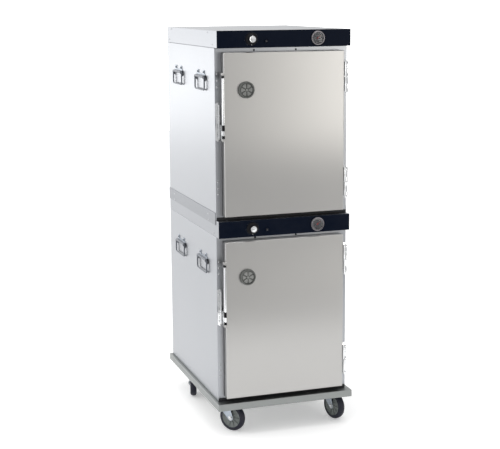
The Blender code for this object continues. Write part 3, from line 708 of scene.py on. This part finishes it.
def latch(prefix):
    """Lever with a hollowed back, its pivots, and the lobed strike plate on the frame."""
    handle, strike = prefix + "_latch_handle", prefix + "_latch_strike"
    body = prefix + "_latch"
    at = Vector(JOINTS[prefix + "_latch_pull"]["pos_m"])
    low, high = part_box(handle)
    work = bmesh.new()
    grip = rounded(rectangle((low.x + 0.0003, low.y), (high.x - 0.0003, at.y + 0.0045)),
                   [0.0035, 0.0035, 0.0045, 0.0045], 6)
    add_plate(work, grip, 2, low.z, high.z, 0.0012, 3)
    strike_low, strike_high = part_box(strike)
    add_block(work, (low.x + 0.0004, at.y, strike_low.z + 0.015),
              (low.x + 0.003, high.y, strike_low.z + 0.075), 0.0008)
    piece(handle + "_bar", work, "chrome", body, replaced=(handle,))

    work = bmesh.new()
    for top, bottom in ((high.z, high.z - 0.012), (low.z + 0.061, low.z + 0.034), (low.z + 0.015, low.z)):
        add_block(work, (low.x, low.y, bottom), (high.x, at.y + 0.005, top), 0.0014)
    piece(handle + "_pivot_caps", work, "black", body)

    work = bmesh.new()
    outline = []
    width = strike_high.x - strike_low.x
    steps = 28
    for k in range(steps + 1):
        t = k / steps
        z = strike_low.z + (strike_high.z - strike_low.z) * t
        edge = abs(2 * t - 1)
        belly = 1 - 0.28 * math.exp(-((t - 0.5) / 0.07) ** 2)
        taper = math.sqrt(max(0.0, 1 - max(0.0, (edge - 0.9) / 0.1) ** 2))
        outline.append((strike_high.x - width * belly * (0.35 + 0.65 * taper), z))
    outline += [(strike_high.x, strike_high.z), (strike_high.x, strike_low.z)]
    add_plate(work, outline, 1, strike_high.y - 0.0012, strike_high.y + 0.0009, 0.0006)
    lip = rounded(rectangle((strike_high.x - 0.003, strike_high.y - 0.0012), (strike_high.x, strike_low.y)),
                  [0, 0, 0.0014, 0.0014])
    add_plate(work, lip, 2, strike_low.z + 0.01, strike_high.z - 0.01, 0.0004)
    piece(strike + "_plate", work, "chrome", replaced=(strike,))
    work = bmesh.new()
    for t in (0.14, 0.36, 0.64, 0.86):
        add_screw(work, (strike_low.x + width * 0.47, strike_high.y - 0.0012,
                         strike_low.z + (strike_high.z - strike_low.z) * t), FRONT, 0.0032, 0.0014)
    piece(strike + "_screws", work, "screw")


def painted_sill_shade(prefix):
    """Black strip along the frame's bottom rail, below the door: painted shade for the shadowed recess
    there.
    """
    low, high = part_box(prefix + "_casing")
    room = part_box(prefix + "_door")[0].z - low.z
    work = bmesh.new()
    section = rounded(rectangle((low.y - 0.003, low.z + TINY), (low.y - TINY, low.z + room - 0.0045)),
                      [0.0012, 0, 0, 0.0012])
    add_plate(work, section, 0, low.x + 0.002, high.x - 0.002, 0.0003)
    # the black look here is painted shade, not a real seal
    piece(prefix + "_painted_sill_shade", work, "rubber")


def plugged_screws(prefix):
    """Spare hinge holes on the left of the frame, filled by screws, and plugs in the header."""
    face_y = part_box(prefix + "_casing")[0].y
    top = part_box(prefix + "_cap")[1].z
    stile = -0.3015
    work = bmesh.new()
    for drop in (0.187, 0.215, 0.244, 0.664, 0.692, 0.719):
        add_screw(work, (stile, face_y, top - drop), FRONT, 0.0042, 0.002)
    piece(prefix + "_spare_hinge_screws", work, "screw")
    work = bmesh.new()
    for x in (-0.13, 0.066):
        add_turned(work, [(0, 0), (0.0042, 0), (0.0042, 0.0016), (0.003, 0.0026), (0, 0.0028)],
                   Vector((x, face_y, top - 0.087)), FRONT, 24)
    piece(prefix + "_header_plugs", work, "black")


# ------ sides, cap and stack
def drop_handle(prefix, where):
    """Rolled plate and a smoothly bent bail."""
    plate, bail = f"{prefix}_drop_handle_plate_{where}", f"{prefix}_drop_handle_bail_{where}"
    at = Vector(JOINTS[f"{prefix}_bail_{where}_swing"]["pos_m"])
    side = -1 if at.x < 0 else 1
    low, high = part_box(plate)
    panel = high.x if side < 0 else low.x
    half = (high.y - low.y) / 2
    work = bmesh.new()
    lug, crest, waist = 0.012, at.z + 0.029, at.z + 0.013
    outline = [(low.y, at.z - 0.006), (high.y, at.z - 0.006), (high.y, waist)]
    for middle in (at.y + 0.045, at.y - 0.045):
        outline += [(middle + lug, waist), (middle + lug, crest),
                    (middle - lug, crest), (middle - lug, waist)]
    outline.append((low.y, waist))
    add_plate(work, rounded(outline, 0.0035, 4), 0, *sorted((panel, panel + side * 0.002)), 0.0005)
    piece(plate + "_sheet", work, "zinc", replaced=(plate,))

    work = bmesh.new()
    outer, inner = 0.0056, 0.004
    shell = arc((0, 0), outer, -128, 128, 26) + arc((0, 0), inner, 128, -128, 26)
    shell = [(at.x + side * x, at.z + z) for x, z in shell]
    add_plate(work, shell, 1, at.y - half, at.y + half, 0.0003, 2)
    web = [(panel + side * 0.0003, at.z + 0.0042), (panel + side * 0.0026, at.z + 0.0075),
           (at.x + side * outer * math.cos(math.radians(122)), at.z + outer * math.sin(math.radians(122))),
           (at.x + side * inner * math.cos(math.radians(128)), at.z + inner * math.sin(math.radians(128))),
           (panel + side * 0.0003, at.z - 0.0035)]
    add_plate(work, web, 1, at.y - half, at.y + half)
    cheek = [(panel, at.z + 0.006), (at.x + side * outer, at.z + 0.003),
             (at.x + side * outer, at.z - 0.006), (panel, at.z - 0.021)]
    for start in (low.y, high.y - 0.002):
        add_plate(work, cheek, 1, start, start + 0.002, 0.0004)
    piece(plate + "_sleeve", work, "handle")

    work = bmesh.new()
    for offset in (-0.045, 0.045):
        add_screw(work, (panel + side * 0.002, at.y + offset, at.z + 0.02), (side, 0, 0), 0.005, 0.0026)
    piece(plate + "_screws", work, "handle")

    bail_low, bail_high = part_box(bail)
    radius = (bail_high.x - bail_low.x) / 2
    leg = (bail_high.y - bail_low.y) / 2 - radius
    foot = bail_low.z + radius
    inset = half - 0.01
    path = [(at.x, at.y - inset, at.z), (at.x, at.y - leg, at.z), (at.x, at.y - leg, foot),
            (at.x, at.y + leg, foot), (at.x, at.y + leg, at.z), (at.x, at.y + inset, at.z)]
    path = [Vector(point) for point in path]
    bends = []
    for index, size in ((1, 0.0058), (2, 0.0125), (3, 0.0125), (4, 0.0058)):
        here = path[index]
        back, ahead = ((path[beside] - here).normalized() * size for beside in (index - 1, index + 1))
        bends += bend(here + back, here, here + ahead, 7)
    work = bmesh.new()
    add_tube(work, [path[0]] + bends + [path[-1]], radius, 20)
    piece(bail + "_rod", work, "handle", f"{prefix}_bail_{where}", 50, replaced=(bail,))


def side_fixings(prefix):
    """Screws in the cap's sides and rivets near the casing's foot, on both sides."""
    cap_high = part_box(prefix + "_cap")[1]
    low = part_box(prefix + "_casing")[0]
    work = bmesh.new()
    for side in (-1, 1):
        x = side * cap_high.x
        for behind, drop in ((0.719, 0.009), (0.101, 0.009), (0.758, 0.06), (0.032, 0.061)):
            add_screw(work, (x, low.y + behind, cap_high.z - drop), (side, 0, 0), *SCREW)
        for behind in (0.723, 0.104):
            add_rivet(work, (x, low.y + behind, low.z + 0.0105), (side, 0, 0), 0.003, 0.0014)
    piece(prefix + "_side_fixings", work, "screw")


def rear_fittings(prefix):
    """Louvred rear cover plate of the control box, its screws and the power inlet."""
    low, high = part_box(prefix + "_cap")
    rear = high.y
    middle = (low.z + high.z) / 2
    work = bmesh.new()
    outline = rounded(rectangle((-0.235, low.z + 0.009), (0.235, high.z - 0.009)), 0.004)
    add_plate(work, outline, 1, rear + TINY, rear + 0.0015, 0.0004)
    for k in range(14):
        x = -0.2 + k * 0.0155
        slot = rounded(rectangle((x, middle - 0.017), (x + 0.0055, middle + 0.017)), 0.0026)
        add_plate(work, slot, 1, rear + 0.0014, rear + 0.0032, 0.0012, 3)
    piece(prefix + "_rear_cover", work, "cap")
    work = bmesh.new()
    for x in (-0.225, 0.225):
        for z in (low.z + 0.018, high.z - 0.018):
            add_screw(work, (x, rear + 0.0015, z), (0, 1, 0), *SCREW)
    piece(prefix + "_rear_screws", work, "screw")
    inlet = Vector((0.15, rear + 0.0015, middle))
    work = bmesh.new()
    outer = rounded(centred((inlet.x, inlet.z), 0.024, 0.016), 0.005)
    add_plate(work, outer, 1, inlet.y, inlet.y + 0.003, 0.0008)
    ring = rounded(centred((inlet.x, inlet.z), 0.0145, 0.0105), [0.001, 0.001, 0.005, 0.005])
    add_plate(work, ring, 1, inlet.y + 0.0028, inlet.y + 0.009, 0.001)
    piece(prefix + "_power_inlet", work, "black")
    work = bmesh.new()
    for dx, dz in ((-0.007, 0.001), (0.007, 0.001), (0.0, -0.0035)):
        add_block(work, (inlet.x + dx - 0.0012, inlet.y + 0.0088, inlet.z + dz - 0.0025),
                  (inlet.x + dx + 0.0012, inlet.y + 0.0104, inlet.z + dz + 0.0025), 0.0003, 2)
    piece(prefix + "_power_inlet_pins", work, "chrome")


def heater(prefix):
    """Sheathed element loop with its terminal block and clips."""
    low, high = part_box(prefix + "_heater")
    mid_z = (low.z + high.z) / 2
    back = high.y
    front = low.y + 0.034
    path = [(-0.04, back - 0.01), (-0.04, back - 0.06), (-0.2, back - 0.09), (-0.2, front),
            (-0.17, front - 0.03), (0.17, front - 0.03), (0.2, front), (0.2, back - 0.09),
            (0.04, back - 0.06), (0.04, back - 0.01)]
    work = bmesh.new()
    add_tube(work, filleted([(x, y, mid_z) for x, y in path], 0.016, 6), 0.004, 16)
    piece(prefix + "_heater_element", work, "sheath",
          replaced=(prefix + "_heater",))
    work = bmesh.new()
    add_block(work, (-0.06, back - 0.014, low.z), (0.06, back, high.z), 0.0015)
    for x in (-0.2, 0.2):
        for y in (front + 0.12, back - 0.22):
            add_block(work, (x - 0.006, y - 0.006, mid_z - 0.033), (x + 0.006, y + 0.006, mid_z - 0.004),
                      0.0008)
    piece(prefix + "_heater_mounts", work, "zinc")


def stacking_details():
    """Rivets through the stacking band into both cabinets."""
    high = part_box("stacking_band")[1]
    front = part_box("upper_casing")[0].y
    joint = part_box("lower_cap")[1].z
    # the band's darker steel is painted shade
    dress("stacking_band", "band", 0.0006, 2)
    work = bmesh.new()
    spots = [((side * high.x, front + behind), (side, 0, 0))
             for side in (-1, 1) for behind in (0.113, 0.7)]
    spots += [((x, high.y), (0, 1, 0)) for x in (-0.24, 0.24)]
    for spot, outwards in spots:
        for level in (0.015, -0.013):
            add_rivet(work, (*spot, joint + level), outwards, *RIVET)
    piece("stacking_band_rivets", work, "screw")


# ------ base and casters
def base_details():
    """The mounting plate of each caster, with its four bolts."""
    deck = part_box("base_frame")[1].z - 0.0072
    under = deck - 0.003
    dress("base_frame", "base", 0.001, 3)
    work = bmesh.new()
    for corner in CORNERS:
        at = Vector(JOINTS["swivel_" + corner]["pos_m"])
        add_plate(work, rounded(centred(at, 0.048, 0.045), 0.01), 2, under, deck, 0.0006)
        for x, y in centred(at, 0.037, 0.034):
            add_turned(work, [(0, 0), (0.0065, 0), (0.0065, 0.0045), (0.0052, 0.0055), (0, 0.0055)],
                       Vector((x, y, under)), -UP, 6)
    piece("caster_plates", work, "zinc")


def caster(corner):
    """Pressed fork, swivel race, wheel with hub and tyre, and the brake on the front pair."""
    swivel = Vector(JOINTS["swivel_" + corner]["pos_m"])
    roll = JOINTS["roll_" + corner]
    axle = Vector(roll["pos_m"])
    across = Vector(roll["axis"])
    ahead = Vector((axle.x - swivel.x, axle.y - swivel.y, 0)).normalized()
    trail = math.hypot(axle.x - swivel.x, axle.y - swivel.y)
    place = Matrix(((ahead.x, across.x, 0, swivel.x), (ahead.y, across.y, 0, swivel.y), (0, 0, 1, 0),
                    (0, 0, 0, 1)))
    fork, wheel = "caster_fork_" + corner, "caster_wheel_" + corner
    body, wheel_body = "caster_" + corner, "wheel_" + corner
    braked = "brake_pedal_" + corner in NODES
    radius = axle.z
    half = 0.016
    inner, outer = half + 0.0015, half + 0.0045

    def placed(work):
        bmesh.ops.transform(work, matrix=place, verts=work.verts)
        return work

    work = bmesh.new()
    rear_edge = [(-0.017, 0.105), (-0.029, 0.111), (-0.03, 0.124)] if braked else [(-0.025, 0.126)]
    leg = [(-0.024, 0.1415), (0.026, 0.1415)] + arc((trail, radius), 0.0135, 38, -148, 14) + rear_edge
    for low, high in ((inner, outer), (-outer, -inner)):
        add_plate(work, leg, 1, low, high, 0.0008)
    add_turned(work, [(0.0066, 0.138), (0.021, 0.138), (0.0262, 0.1386), (0.0284, 0.1402),
                      (0.0284, 0.1424), (0.0272, 0.1436), (0.025, 0.1441), (0.0066, 0.1441)],
               (0, 0, 0), UP, 48)
    piece(fork + "_body", placed(work), "zinc", body, replaced=(fork,))

    work = bmesh.new()
    for side in (-1, 1):
        face = Vector((trail, side * outer, radius))
        add_turned(work, [(0, 0), (0.0105, 0), (0.0105, 0.001), (0, 0.001)], face, (0, side, 0), 32)
        add_turned(work, [(0, 0.0008), (0.0082, 0.0008), (0.0082, 0.0036), (0.007, 0.0044), (0, 0.0044)],
                   face, (0, side, 0), 6)
    add_tube(work, [(trail, -outer, radius), (trail, outer, radius)], 0.0058, 20, False)
    if braked:
        add_tube(work, [(-0.022, -outer - 0.001, 0.117), (-0.022, outer + 0.001, 0.117)], 0.0029, 16)
    piece(fork + "_axle", placed(work), "screw", body)

    work = bmesh.new()
    hub = 0.0465
    middle = Vector((trail, 0, radius))
    profile = [(0.0064, half), (0.012, half), (0.015, half - 0.0012), (0.0165, half - 0.005),
               (0.02, half - 0.0068), (0.038, half - 0.0062), (0.043, half - 0.004),
               (0.0452, half - 0.0012), (hub, half - 0.0014)]
    add_turned(work, mirrored(profile), middle, (0, 1, 0), 64)
    spokes = 10
    for inside, outside in ((half - 0.007, half - 0.0025), (0.0025 - half, 0.007 - half)):
        for k in range(spokes):
            add_block(work, (0.016, inside, -0.0012), (0.0425, outside, 0.0012), 0.0005, 2,
                      Matrix.Translation(middle) @ Matrix.Rotation(math.tau * k / spokes, 4, "Y"))
    piece(wheel + "_hub", placed(work), "hub", wheel_body, 30, replaced=(wheel,))
    work = bmesh.new()
    profile = [(hub - 0.0002, half - 0.0016), (hub + 0.001, half - 0.0004), (0.052, half - 0.0002),
               (0.057, half - 0.0012), (0.0605, half - 0.0036), (radius - 0.0008, half - 0.0078),
               (radius, half - 0.012)]
    add_turned(work, mirrored(profile), middle, (0, 1, 0), 96)
    piece(wheel + "_tyre", placed(work), "tyre", wheel_body)

    if braked:
        work = bmesh.new()
        x, z = -0.022, 0.117
        arm = [(0.0045, 0.005), (-0.004, 0.0063), (-0.024, 0.0036), (-0.04, 0.001), (-0.0415, -0.0025),
               (-0.024, -0.0012), (-0.009, -0.0035), (0.0045, -0.0143), (0.0083, -0.0133)]
        outline = [(x + a, z + b) for a, b in rounded(arm, 0.0012, 3)]
        add_plate(work, outline, 1, -half - 0.0006, half + 0.0006, 0.0008)
        tread = rounded(rectangle((x - 0.046, -half - 0.004), (x - 0.03, half + 0.004)), 0.004)
        add_plate(work, tread, 2, z - 0.0043, z + 0.0013, 0.0012, 3)
        for k in range(5):
            y = -0.015 + k * 0.0075
            add_block(work, (x - 0.0445, y - 0.0012, z + 0.0006), (x - 0.0315, y + 0.0012, z + 0.0026),
                      0.0006, 2)
        pedal = "brake_pedal_" + corner
        piece(pedal + "_lever", placed(work), "black", "brake_" + corner, replaced=(pedal,))


# ------ assemble
for prefix in CABINETS:
    dress(prefix + "_casing", "casing", 0.0012, 3)
    dress(prefix + "_cap", "cap", 0.0012, 3)
    dress(prefix + "_door", "door", 0.0006, 2)
    dress(prefix + "_liner", "liner", 0.0006, 2)
    knob(prefix)
    thermometer(prefix)
    fascia_details(prefix)
    vent(prefix)
    gasket(prefix)
    latch(prefix)
    for where in ("top", "bottom"):
        hinge(prefix, where)
    # black strip of painted shade below each door
    painted_sill_shade(prefix)
    plugged_screws(prefix)
    side_fixings(prefix)
    rear_fittings(prefix)
    heater(prefix)
    for side in ("left", "right"):
        for end in ("front", "rear"):
            drop_handle(prefix, side + "_" + end)
stacking_details()
base_details()
for corner in CORNERS:
    caster(corner)


# ------ floor, light and camera
def stage_floor():
    work = bmesh.new()
    corners = rectangle((-FLOOR_REACH, FLOOR_FRONT), (FLOOR_REACH, FLOOR_REACH))
    work.faces.new([work.verts.new((x, y, 0)) for x, y in corners])
    look = Look("studio_floor")
    look.feed(look.shader, Roughness=0.9, Emission_Color=(1, 1, 1, 1), Emission_Strength=0.3,
              Base_Color=look.mix(look.texture(0.7, Detail=2.0), (0.87, 0.87, 0.87), (0.9, 0.9, 0.9)))
    mesh_object("floor", work, look.material)


def area_light(name, place, target, size, power, colour=(1, 1, 1), spread=180):
    data = bpy.data.lights.new(name, "AREA")
    data.shape = "RECTANGLE"
    data.size, data.size_y = size
    data.energy = power
    data.color = colour
    data.spread = math.radians(spread)
    light = bpy.data.objects.new(name, data)
    light.location = place
    light.rotation_mode = "QUATERNION"
    light.rotation_quaternion = (Vector(target) - Vector(place)).to_track_quat("-Z", "Y")
    bpy.context.scene.collection.objects.link(light)


def studio():
    """A bright sweep behind the cabinets, a dimmer room in front, a softbox and two banks of lamps."""
    world = bpy.data.worlds.new("studio")
    world.use_nodes = True
    sky = Nodes(world.node_tree)
    heading = sky.add("SeparateXYZ", Vector=sky.add("TexCoord").outputs["Generated"]).outputs
    # the sweep's middle lies behind the cabinets and to their left
    rearward = sky.math("SUBTRACT", heading["Y"], sky.math("MULTIPLY", heading["X"], 1.4))
    glow = sky.math("MULTIPLY", sky.remap(rearward, 0.0, SWEEP_LIGHT - ROOM_LIGHT, 0.0, 1.28),
                    sky.remap(heading["Z"], 1.0, 0.62, -0.07, -0.01))
    overhead = sky.math("MULTIPLY", sky.remap(heading["Z"], 0.0, 1.0, 0.4, 0.85), OVERHEAD_LIGHT)
    level = sky.math("ADD", sky.math("ADD", glow, ROOM_LIGHT), overhead)
    seen = sky.add("LightPath").outputs["Is Camera Ray"]
    sky.feed(sky.tree.nodes["Background"], Color=(1, 1, 1, 1), Strength=sky.math("ADD", level, seen))
    bpy.context.scene.world = world
    stage_floor()
    area_light("softbox", (4.3, -7.4, 1.5), (0.1, -0.4, 1.3), (2.6, 2.4), 62, (1.0, 0.97, 0.92))
    area_light("overhead", (1.3, -0.6, 7.6), (1.1, -0.8, 0), (4.5, 4.5), 20, spread=55)
    area_light("sweep", (0.5, 11.5, 6), (0.3, 7.5, 0), (18, 4), 40, spread=70)
    bpy.context.scene.view_settings.view_transform = "Standard"


def camera():
    """The photograph's view: focal length, place and heading of the camera."""
    data = bpy.data.cameras.new("camera")
    data.sensor_width = 36
    data.sensor_fit = "HORIZONTAL"
    data.lens = 86.34456
    data.shift_y = -0.049
    yaw, pitch, roll = -0.3233, 0.1677, -0.0068
    ahead = Vector((-math.sin(yaw) * math.cos(pitch), math.cos(yaw) * math.cos(pitch), -math.sin(pitch)))
    right = Vector((math.cos(yaw), math.sin(yaw), 0))
    up = right.cross(ahead)
    turned_right = right * math.cos(roll) + up * math.sin(roll)
    turned_up = up * math.cos(roll) - right * math.sin(roll)
    made = bpy.data.objects.new("camera", data)
    made.rotation_mode = "QUATERNION"
    made.rotation_quaternion = Matrix((turned_right, turned_up, -ahead)).transposed().to_quaternion()
    made.location = (-1.8332, -5.3873, 1.9742)
    bpy.context.scene.collection.objects.link(made)
    bpy.context.scene.camera = made


studio()
camera()
